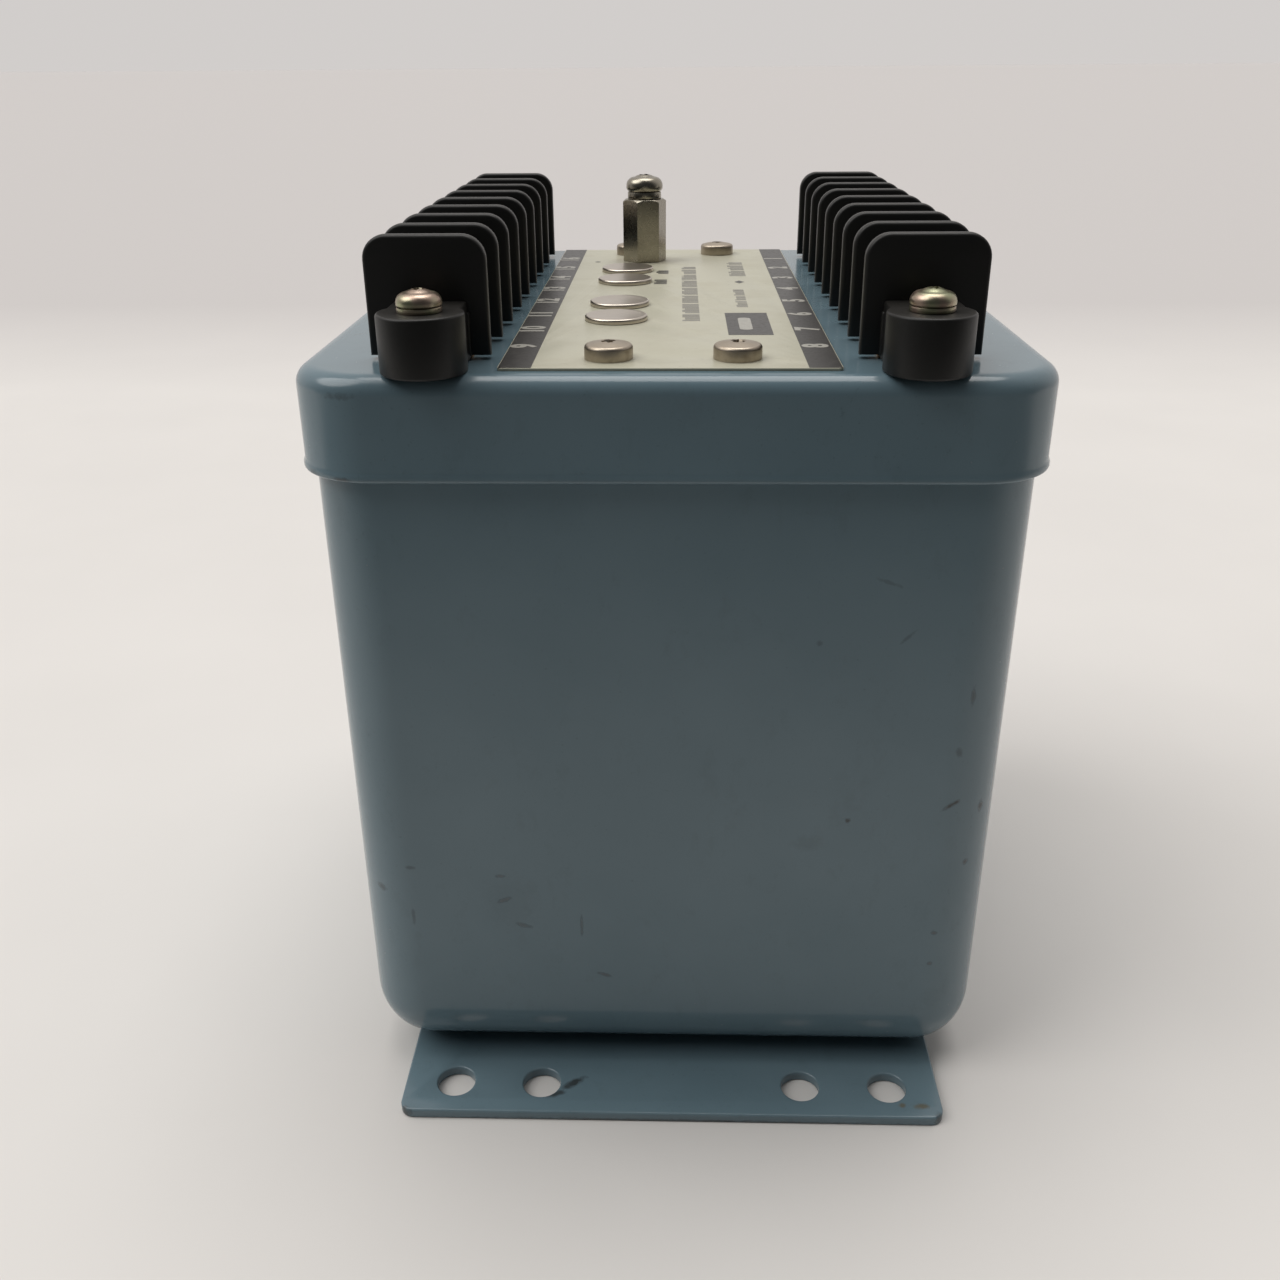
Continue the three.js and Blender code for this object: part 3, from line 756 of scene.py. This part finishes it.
def makePlate():
    low, high = boxOf("base_plate")
    s = plateSizes
    outlines = [roundedOutline(high.x, high.y, s["corner"], 8)]
    for x in s["holeX"]:
        for y in (low.y + s["holeInset"], high.y - s["holeInset"]):
            outlines.append(roundOutline(x, y, s["holeRadius"]))
    mesh = bevelledSheet("flanged_plate", outlines, low.z, high.z, s["edge"])
    piece(mesh, housing, "blue_enamel", "base_plate", finish="plate", angle=50)


# Label plate and its printing

labelSizes = {
    "edge": 0.06, "corner": 0.6, "inkHigh": 0.02, "stripWide": 4.15, "margin": 0.12,
    "numberHigh": 3.2, "numberBold": 0.2, "numberInset": 2.05, "capShare": 0.72,
}

# plain shapes: the dark panel with its pale bar, a diamond, and a dot
printedShapes = {
    "panel": (7.3, 13.4, -31.8, -15.7), "barAt": (9.9, -24.0), "barHalf": (0.9, 4.4),
    "barRound": 0.8, "diamond": [(9.9, 12.3), (10.7, 10.9), (11.5, 12.3), (10.7, 13.7)],
    "dotAt": (-14.3, 35.5), "dotRadius": 0.5,
}

# bars that stand for letters: their least and most of each
barSizes = {
    "letters": (4, 9), "thick": (0.5, 0.8), "gap": (0.22, 0.4), "wordGap": 0.7,
    "endGap": 0.4, "shortening": (0.0, 0.0, 0.15), "seed": 7,
}

# low and high x, first and last y, and the ink of each row of bars
printedRows = [
    (1.1, 3.6, -21.8, 29.0, "greyInk"),
    (9.3, 12.1, 18.6, 35.0, "greyInk"),
    (9.3, 11.0, -10.9, 5.3, "greyInk"),
    (-3.3, -1.2, 21.2, 25.4, "darkInk"),
    (-3.5, -1.4, 10.4, 14.6, "darkInk"),
]


def inkPatch(outline, top):
    layer = labelSizes["inkHigh"]
    points = [(x * mm, y * mm, z * mm) for z in (top, top + layer) for x, y in outline]
    count = len(outline)
    faces = [list(range(count))[::-1], list(range(count, 2 * count))]
    faces += [(k, (k + 1) % count, count + (k + 1) % count, count + k) for k in range(count)]
    return setOutward(meshFrom("ink", points, faces))


def rectangle(x0, x1, y0, y1):
    return [(x0, y0), (x1, y0), (x1, y1), (x0, y1)]


def wordBars(x0, x1, first, last, draw):
    # thin bars across the row, a letter's width apart, with a gap after each word
    s = barSizes
    outlines = []
    y = first
    while y < last - s["endGap"]:
        for _ in range(draw.randint(*s["letters"])):
            if y > last - s["endGap"]:
                break
            thick = draw.uniform(*s["thick"])
            inset = draw.choice(s["shortening"]) * (x1 - x0)
            outlines.append(rectangle(x0 + inset, x1, y, y + thick))
            y += thick + draw.uniform(*s["gap"])
        y += s["wordGap"]
    return outlines


def numeral(text, x, y, top):
    s = labelSizes
    curve = bpy.data.curves.new("numeral", "FONT")
    curve.body = text
    curve.size = s["numberHigh"] / s["capShare"] * mm
    curve.align_x = "CENTER"
    curve.align_y = "CENTER"
    curve.extrude = s["inkHigh"] / 2 * mm
    curve.offset = s["numberBold"] * mm
    curve.resolution_u = 4
    mesh = evaluated(objectOf(curve, "numeral"), "numeral")
    return moved(mesh, (x, y, top + s["inkHigh"] / 2), turn=90)


def makeLabel():
    low, high = boxOf("label_plate")
    s, shapes = labelSizes, printedShapes
    middle = (low + high) / 2
    outlines = [roundedOutline(middle.x - low.x, high.y, s["corner"], 4, (middle.x, 0))]
    outlines += [roundOutline(x, y, radius) for x, y, radius in sharedHoles()]
    plate = bevelledSheet("foil_label", outlines, low.z, high.z, s["edge"])
    piece(plate, housing, "label_foil", "label_plate", finish="foil")

    top = high.z
    inks = {"darkInk": [], "greyInk": [], "paleInk": []}
    wide, end = s["stripWide"], s["margin"]
    strips = [(low.x + end, low.x + wide), (high.x - wide, high.x - end)]
    for x0, x1 in strips:
        inks["darkInk"].append(inkPatch(rectangle(x0, x1, low.y + end, high.y - end), top))
    draw = random.Random(barSizes["seed"])
    for x0, x1, first, last, ink in printedRows:
        inks[ink] += [inkPatch(outline, top) for outline in wordBars(x0, x1, first, last, draw)]
    dot = roundOutline(*shapes["dotAt"], shapes["dotRadius"], 16)
    for outline in (rectangle(*shapes["panel"]), shapes["diamond"], dot):
        inks["darkInk"].append(inkPatch(outline, top))
    raised = top + s["inkHigh"]
    bar = roundedOutline(*shapes["barHalf"], shapes["barRound"], 6, shapes["barAt"])
    inks["paleInk"].append(inkPatch(bar, raised))
    for side in ("left", "right"):
        x = low.x + s["numberInset"] if side == "left" else high.x - s["numberInset"]
        for k in range(1, terminals + 1):
            y = middleOf(f"terminal_screw_{side}_{k}").y
            text = str(terminals + k) if side == "left" else str(terminals + 1 - k)
            inks["paleInk"].append(numeral(text, x, y, raised))
    for ink, patches in inks.items():
        piece(joined("label_print_" + ink, patches), housing, "label_foil", finish=ink)


# Pan-head screws: the label's, the blocks', the post's and the terminals'

# side is the upright part of the head, edge the radius of its shoulder, dome the rise to the middle
screwSizes = {
    "label": {"radius": 3.05, "side": 1.35, "edge": 0.5, "dome": 0.35, "under": 0.1,
              "shank": 1.6, "cross": True},
    "block": {"radius": 2.75, "side": 0.25, "edge": 1.15, "dome": 0.45, "under": 0.2,
              "shank": 1.35, "cross": True},
    "post": {"radius": 3.3, "side": 0.35, "edge": 1.45, "dome": 0.5, "under": 0.7,
             "shank": 1.7, "cross": True},
    "terminal": {"radius": 3.0, "side": 1.0, "edge": 0.5, "dome": 0.6, "under": 0.15,
                 "shank": 1.6, "cross": False},
}

# recesses: depths as shares of the head's height, widths as shares of its radius
driveSizes = {
    "crossDepth": 0.35, "armReach": 0.48, "armHalf": 0.16, "footReach": 0.35, "footHalf": 0.6,
    "middleFoot": 0.8, "middleTop": 1.9, "slotFloor": 0.42, "slotHalf": 0.15,
}

pointSizes = {"inset": 0.3, "high": 0.35}  # chamfer at the tip of a shank

# split spring washers of square section: outer and inner radius, and how far the ends stand apart
washerSizes = {
    "block": (2.7, 1.5), "post": (3.05, 2.0),
    "gapDegrees": 14, "rise": 0.12, "steps": 60, "edge": 0.12, "slack": 0.02,
}

# degrees that each screw is turned, as if driven by hand
labelTurns = {"front_left": 20, "front_right": 62, "rear_left": 35, "rear_right": 8}
blockTurns = {"left_front": 70, "right_front": 25, "left_rear": 40, "right_rear": 5}
terminalSeed = 21


def headHeight(kind):
    sizes = screwSizes[kind]
    return sizes["under"] + sizes["side"] + sizes["edge"] + sizes["dome"]


def crossRecess(radius, top):
    # tapered four-winged driver recess
    s = driveSizes
    arm, wide = radius * s["armReach"], radius * s["armHalf"]
    low, above = top - top * s["crossDepth"], top + cutPast
    wings = []
    for turn in (0, 90):
        wing = boxMesh("wing", -arm, arm, -wide, wide, low, above)
        for vertex in wing.vertices:
            if vertex.co.z < top * mm:
                vertex.co.x *= s["footReach"]
                vertex.co.y *= s["footHalf"]
        wings.append(moved(wing, turn=turn))
    cone = [(0, low), (wide * s["middleFoot"], low), (wide * s["middleTop"], above), (0, above)]
    return wings + [lathed("middle", cone, 8)]


def screwMesh(name, kind, shankLength, turn, domeSteps=6):
    # the seat under the head is at height 0
    sizes = screwSizes[kind]
    radius, under, edge, dome = sizes["radius"], sizes["under"], sizes["edge"], sizes["dome"]
    high, shank, tip = headHeight(kind), sizes["shank"], -shankLength
    shoulder = high - dome - edge
    profile = [(0, tip), (shank - pointSizes["inset"], tip), (shank, tip + pointSizes["high"])]
    profile.append((shank, 0))
    profile += arc(radius - under, under, under, -90, 0, 4)
    profile += arc(radius - edge, shoulder, edge, 0, 90, 8)
    inner = radius - edge
    shares = [1 - k / domeSteps for k in range(1, domeSteps)]
    profile += [(inner * share, high - dome * share ** 2) for share in shares]
    profile.append((0, high))
    head = lathed(name, profile, 56)
    if sizes["cross"]:
        return moved(cut(head, crossRecess(radius, high)), turn=turn)
    reach, half = radius + cutPast, radius * driveSizes["slotHalf"]
    floor = high * driveSizes["slotFloor"]
    slot = boxMesh("slot", -reach, reach, -half, half, floor, high + cutPast)
    return moved(cut(head, [slot]), turn=turn)


def lockWasherMesh(name, kind, low, high):
    s = washerSizes
    (outer, inner), steps, gap = s[kind], s["steps"], s["gapDegrees"]
    verts, faces = [], []
    for k in range(steps + 1):
        share = k / steps
        angle = math.radians(gap / 2 + (360 - gap) * share)
        lift = (share - 0.5) * s["rise"]
        for radius, z in ((inner, low), (outer, low), (outer, high), (inner, high)):
            corner = (radius * math.cos(angle), radius * math.sin(angle), z + lift)
            verts.append(tuple(c * mm for c in corner))
    for k in range(steps):
        for j in range(4):
            a, b = 4 * k + j, 4 * k + (j + 1) % 4
            faces.append((a, b, b + 4, a + 4))
    faces += [(0, 1, 2, 3), tuple(4 * steps + j for j in (3, 2, 1, 0))]
    return bevelled(setOutward(meshFrom(name, verts, faces)), s["edge"], 2)


def placedScrew(name, kind, node, turn):
    # a screw where its node stands, with the top of its head at the node's
    low, high = boxOf(node)
    centre = middleOf(node)
    seat = high.z - headHeight(kind)
    return moved(screwMesh(name, kind, seat - low.z, turn), (centre.x, centre.y, seat))


def makeLabelScrews():
    for corner, turn in labelTurns.items():
        node = "label_screw_" + corner
        screw = placedScrew("pan_" + node, "label", node, turn)
        piece(screw, housing, "nickel_plate", node, finish="nickel")


def makeBlockScrews():
    lugTop, slack = boxOf("lid")[1].z + blockSizes["lugHigh"], washerSizes["slack"]
    for corner, turn in blockTurns.items():
        node = "block_screw_" + corner
        seat = boxOf(node)[1].z - headHeight("block")
        screw = placedScrew("pan_" + node, "block", node, turn)
        ring = lockWasherMesh("washer", "block", lugTop + slack, seat - slack)
        ring = moved(ring, (middleOf(node).x, middleOf(node).y, 0), turn=turn * 2)
        piece(joined("pan_" + node, [screw, ring]), housing, "zinc_plate", node, finish="zinc")


def makeTerminalScrews():
    draw = random.Random(terminalSeed)
    for side in ("left", "right"):
        for k in range(1, terminals + 1):
            node = f"terminal_screw_{side}_{k}"
            screw = placedScrew(f"slotted_screw_{side}_{k}", "terminal", node, draw.uniform(0, 180))
            piece(screw, node, "nickel_plate", node, finish="nickel")


# Hex post with its lock washer and screw

postSizes = {
    "flats": 6.9, "turn": 12, "chamfer": 0.5, "footChamfer": 0.15, "edge": 0.12, "clear": 0.1,
    "studRadius": 1.7, "boreRadius": 2.0, "boreDepth": 8.0, "screwTurn": 30,
    "washerBelow": 0.05, "washerAbove": 0.08,
}


def makePost():
    low, high = boxOf("hex_post")
    foot = boxOf("label_plate")[1].z
    centre = middleOf("post_screw")
    s = postSizes
    corner = s["flats"] / math.sqrt(3)
    beyond = corner + s["clear"]
    cone = [(0, foot), (corner - s["footChamfer"], foot), (beyond, foot + s["footChamfer"]),
            (beyond, high.z - s["chamfer"]), (s["flats"] / 2, high.z), (0, high.z)]
    turnedBar = lathed("turned_bar", cone, 96)
    angles = [math.radians(60 * k + s["turn"]) for k in range(6)]
    hexOutline = [(corner * math.cos(angle), corner * math.sin(angle)) for angle in angles]
    prism = bevelledSheet("hex_bar", [hexOutline], foot, high.z, s["edge"])
    body = objectOf(turnedBar)
    other = objectOf(prism)
    meet = body.modifiers.new("meet", "BOOLEAN")
    meet.operation = "INTERSECT"
    meet.solver = "EXACT"
    meet.object = other
    bar = evaluated(body, "hex_bar")
    bpy.data.objects.remove(other, do_unlink=True)
    floor, top = high.z - s["boreDepth"], high.z + cutPast
    bore, stud = s["boreRadius"], s["studRadius"]
    bar = cut(bar, [lathed("bore", [(0, floor), (bore, floor), (bore, top), (0, top)], 40)])
    pin = lathed("stud", [(0, low.z), (stud, low.z), (stud, foot), (0, foot)], 40)
    whole = moved(joined("standoff_post", [bar, pin]), (centre.x, centre.y, 0))
    piece(whole, housing, "nickel_plate", "hex_post", finish="post", angle=20)

    low, high = boxOf("post_lock_washer")
    under, over = low.z + s["washerBelow"], high.z - s["washerAbove"]
    ring = moved(lockWasherMesh("split_washer", "post", under, over), (centre.x, centre.y, 0))
    piece(ring, housing, "nickel_plate", "post_lock_washer", finish="post")

    screw = placedScrew("post_pan_screw", "post", "post_screw", s["screwTurn"])
    piece(screw, "post_screw", "nickel_plate", "post_screw", finish="post")


# Adjuster plugs

plugSizes = {
    "capRadius": 4.5, "edge": 0.3, "foot": 0.1,
    "rimIn": 0.9, "rimDrop": 0.02, "dishIn": 1.5, "dish": 0.08, "middleShare": 0.6,
    "stemRadius": 3.2, "stemWall": 0.7, "roof": 1.1,
    "innerTip": 0.2, "outerTip": 0.25, "outerTipHigh": 0.4,
}


def makePlugs():
    s = plugSizes
    cap, edge, foot = s["capRadius"], s["edge"], s["foot"]
    stem, tip = s["stemRadius"], s["innerTip"]
    inner = stem - s["stemWall"]
    seat = boxOf("label_plate")[1].z
    for k in range(1, plugs + 1):
        node = f"adjuster_plug_{k}"
        low, high = boxOf(node)
        centre = middleOf(node)
        roof = high.z - s["roof"]
        profile = [(0, roof), (inner, roof), (inner, low.z + tip), (inner + tip, low.z)]
        profile += [(stem - s["outerTip"], low.z), (stem, low.z + s["outerTipHigh"]), (stem, seat)]
        profile += [(cap - foot, seat), (cap, seat + foot)]
        profile += arc(cap - edge, high.z - edge, edge, 0, 90, 5)
        profile.append((cap - s["rimIn"], high.z - s["rimDrop"]))
        profile.append((cap - s["dishIn"], high.z - s["dish"]))
        profile.append((0, high.z - s["dish"] * s["middleShare"]))
        mesh = lathed(f"hole_plug_{k}", profile, 56, (centre.x, centre.y))
        piece(mesh, node, "nickel_plate", node, finish="plug")


# Terminal blocks: nine fins on a bar, a lug at each end, contact strips and clamp washers

blockSizes = {
    "finHalfX": 7.6, "finThick": 1.8, "finCorner": 3.0, "finEdge": 0.45, "lift": 0.5,
    "barHalfX": 5.3, "barHalfY": 46.0, "barHigh": 6.0, "barEdge": 0.35,
    "barCorner": 0.4, "terminalHole": 1.9,
    "lugY": 52.2, "lugRadius": 5.3, "neckHalf": 4.6, "neckIn": 1.0, "lugHigh": 7.2, "lugEdge": 0.35,
    "lugHole": 1.6,
}

contactSizes = {
    "halfX": 4.4, "halfY": 3.9, "thick": 0.8, "edge": 0.12, "corner": 0.5, "hole": 1.75,
    "clampHalfX": 3.7, "clampHalfY": 3.6, "clampThick": 0.75,
    "clampGap": 0.02, "clampTurn": 4.0, "clampSeed": 5,
}


def finTemplate(foot, top):
    s = blockSizes
    half, corner = s["finHalfX"], s["finCorner"]
    outline = [(-half, foot), (half, foot)]
    outline += arc(half - corner, top - corner, corner, 0, 90, 10)
    outline += arc(corner - half, top - corner, corner, 90, 180, 10)
    mesh = bevelledSheet("fin", [outline], -s["finThick"] / 2, s["finThick"] / 2, s["finEdge"])
    return moved(mesh, tilt=90)


def lugMesh(end, lugX, lidTop):
    s = blockSizes
    foot = s["barHalfY"] - s["neckIn"]
    meet = math.degrees(math.acos(s["neckHalf"] / s["lugRadius"]))
    outline = [(s["neckHalf"], foot)]
    outline += arc(0, s["lugY"], s["lugRadius"], -meet, 180 + meet, 40)
    outline += [(-s["neckHalf"], foot)]
    hole = roundOutline(0, s["lugY"], s["lugHole"], 32)
    mesh = bevelledSheet("lug", [outline, hole], lidTop, lidTop + s["lugHigh"], s["lugEdge"])
    return moved(mesh, (lugX, 0, 0), turn=0 if end > 0 else 180)


def contactPlate(name, halfX, halfY, low, thick):
    s = contactSizes
    outlines = [roundedOutline(halfX, halfY, s["corner"], 3), roundOutline(0, 0, s["hole"], 28)]
    return bevelledSheet(name, outlines, low, low + thick, s["edge"])


def makeBlocks():
    s, c = blockSizes, contactSizes
    lidTop = boxOf("lid")[1].z
    foot, barTop = lidTop + s["lift"], lidTop + s["barHigh"]
    for side in ("left", "right"):
        low, high = boxOf(f"terminal_block_{side}")
        x = (low.x + high.x) / 2
        pitch = middleOf(f"terminal_screw_{side}_2").y - middleOf(f"terminal_screw_{side}_1").y
        fin = finTemplate(foot, high.z)
        fins = rowOf(f"fins_{side}", fin, "phenolic", terminals + 1, pitch, (0, 0, 0))
        outlines = [roundedOutline(s["barHalfX"], s["barHalfY"], s["barCorner"], 3)]
        for k in range(terminals):
            y = (k - (terminals - 1) / 2) * pitch
            outlines.append(roundOutline(0, y, s["terminalHole"], 28))
        bar = bevelledSheet("bar", outlines, foot, barTop, s["barEdge"])
        lugX = middleOf(f"block_screw_{side}_front").x - x
        parts = [fins, bar] + [lugMesh(end, lugX, lidTop) for end in (-1, 1)]
        whole = moved(joined(f"barrier_block_{side}", parts), (x, 0, 0))
        piece(whole, housing, "black_phenolic", f"terminal_block_{side}", finish="phenolic")

        strip = contactPlate("strip", c["halfX"], c["halfY"], barTop, c["thick"])
        strips = rowOf(f"contact_strips_{side}", strip, "nickel", terminals, pitch, (x, 0, 0))
        piece(strips, housing, "nickel_plate")
        clampLow = barTop + c["thick"] + c["clampGap"]
        clamp = contactPlate("clamp", c["clampHalfX"], c["clampHalfY"], clampLow, c["clampThick"])
        clamps = rowOf(f"clamp_washers_{side}", clamp, "nickel", terminals, pitch, (x, 0, 0),
                       turnSpread=c["clampTurn"], seed=c["clampSeed"])
        piece(clamps, housing, "nickel_plate")


# Pieces inside the can keep their shapes and take their finishes

innerFinishes = {
    "insulating_liner": "fibre", "block_gasket_": "fibre", "board_spacer_": "nickel",
    "circuit_board": "board", "trimmer_body_": "case", "trimmer_rotor_": "brass",
    "transformer_core_": "core", "transformer_coil_": "winding", "current_transformer_": "winding",
}


def finishInnerPieces():
    for name, node in nodes.items():
        for start, finish in innerFinishes.items():
            if name.startswith(start):
                node.data.materials.clear()
                node.data.materials.append(finishes[finish])


makeCan()
makeLid()
makePlate()
print("case made")
makeLabel()
print("label made")
makeLabelScrews()
makeBlockScrews()
makeTerminalScrews()
makePost()
makePlugs()
print("screws, post and plugs made")
makeBlocks()
finishInnerPieces()
print("terminal blocks and inner pieces made")


# Floor, surroundings, lights and camera

# distances along Y in mm, the floor's half width in m, angles in degrees
studio = {
    "floorTone": (0.665, 0.645, 0.622), "floorReach": 30.0,
    # painted shade on the floor in front of the object: it darkens towards the camera, between the
    # two distances
    "paintedShadeTone": (0.10, 0.098, 0.095), "paintedShadeFrom": -115, "paintedShadeTo": -300,
    "farTone": (0.53, 0.508, 0.498), "farFrom": 380, "farTo": 620,
    "worldBack": (0.64, 0.615, 0.60), "worldFront": (0.05, 0.052, 0.055),
    "keyFrom": (-0.66, -0.07, 0.85), "keyStrength": 1.5, "keyAngle": 46,
    "topFrom": (0.05, 0.25, 1.0), "topStrength": 1.3, "topAngle": 40,
}


def floorFinish(s):
    surface = Finish("paleFloor")
    mottle = surface.fade(surface.noise(60, 3.0, 0.5), 0.3, 0.7)
    paler = tuple(c * 1.03 for c in s["floorTone"])
    colour = surface.mix(mottle, s["floorTone"], paler)
    depth = surface.along(1)
    far = surface.fade(depth, s["farFrom"] * mm, s["farTo"] * mm)
    # painted shade: the floor in front turns dark, and the can's front reflects it darker
    paintedShade = surface.fade(depth, s["paintedShadeFrom"] * mm, s["paintedShadeTo"] * mm)
    colour = surface.mix(paintedShade, surface.mix(far, colour, s["farTone"]), s["paintedShadeTone"])
    return surface.close(base=colour, roughness=0.7)


def makeStage():
    reach = studio["floorReach"]
    corners = [(x, y, 0) for x, y in rectangle(-reach, reach, -reach, reach)]
    floor = objectOf(meshFrom("floor", corners, [(0, 1, 2, 3)]))
    floor.data.materials.append(floorFinish(studio))


def makeLight(name, source, strength, angle):
    lamp = bpy.data.lights.new(name, "SUN")
    lamp.energy = strength
    lamp.angle = math.radians(angle)
    lamp.color = (1.0, 0.985, 0.965)
    holder = bpy.data.objects.new(name, lamp)
    scene.collection.objects.link(holder)
    holder.rotation_euler = (-Vector(source)).to_track_quat("-Z", "Y").to_euler()


def makeWorld():
    scene.world = bpy.data.worlds.new("studio")
    scene.world.use_nodes = True
    sky = NodeGraph(scene.world.node_tree)
    way = sky.node("ShaderNodeTexCoord").outputs["Generated"]
    parts = sky.node("ShaderNodeSeparateXYZ", None, {0: way})
    across, ahead, above = (Wire(sky, parts.outputs[axis]) for axis in range(3))
    behind = ahead * 1.3 + above * 0.5 + across.size() * 0.35 + 0.12
    tones = {0: behind.clamped(), 6: (*studio["worldFront"], 1), 7: (*studio["worldBack"], 1)}
    tone = sky.node("ShaderNodeMix", {"data_type": "RGBA"}, tones).outputs[2]
    light = sky.node("ShaderNodeBackground", None, {0: tone})
    sky.node("ShaderNodeOutputWorld", None, {0: light.outputs[0]})


# place in mm, angles in radians, lens and sensor in mm
view = {
    "place": (0.24, -201.02, 143.33), "yaw": -0.0309, "pitch": 0.4378, "roll": -0.0075,
    "lens": 34.825, "sensor": 36.0, "nearest": 0.01,
}


def makeCamera():
    yaw, pitch, roll = view["yaw"], view["pitch"], view["roll"]
    flat = math.cos(pitch)
    forward = Vector((math.sin(yaw) * flat, math.cos(yaw) * flat, -math.sin(pitch)))
    level = Vector((math.cos(yaw), -math.sin(yaw), 0))
    upright = level.cross(forward)
    right = level * math.cos(roll) + upright * math.sin(roll)
    up = upright * math.cos(roll) - level * math.sin(roll)
    data = bpy.data.cameras.new("viewCamera")
    data.sensor_width = view["sensor"]
    data.lens = view["lens"]
    data.clip_start = view["nearest"]
    camera = bpy.data.objects.new("viewCamera", data)
    scene.collection.objects.link(camera)
    turnBasis = Matrix((right, up, -forward)).transposed()
    camera.matrix_world = Matrix.Translation(Vector(view["place"]) * mm) @ turnBasis.to_4x4()
    scene.camera = camera


makeStage()
makeWorld()
makeLight("keyLight", studio["keyFrom"], studio["keyStrength"], studio["keyAngle"])
makeLight("topLight", studio["topFrom"], studio["topStrength"], studio["topAngle"])
makeCamera()
scene.view_settings.view_transform = "Standard"
print("stage, light and camera made")
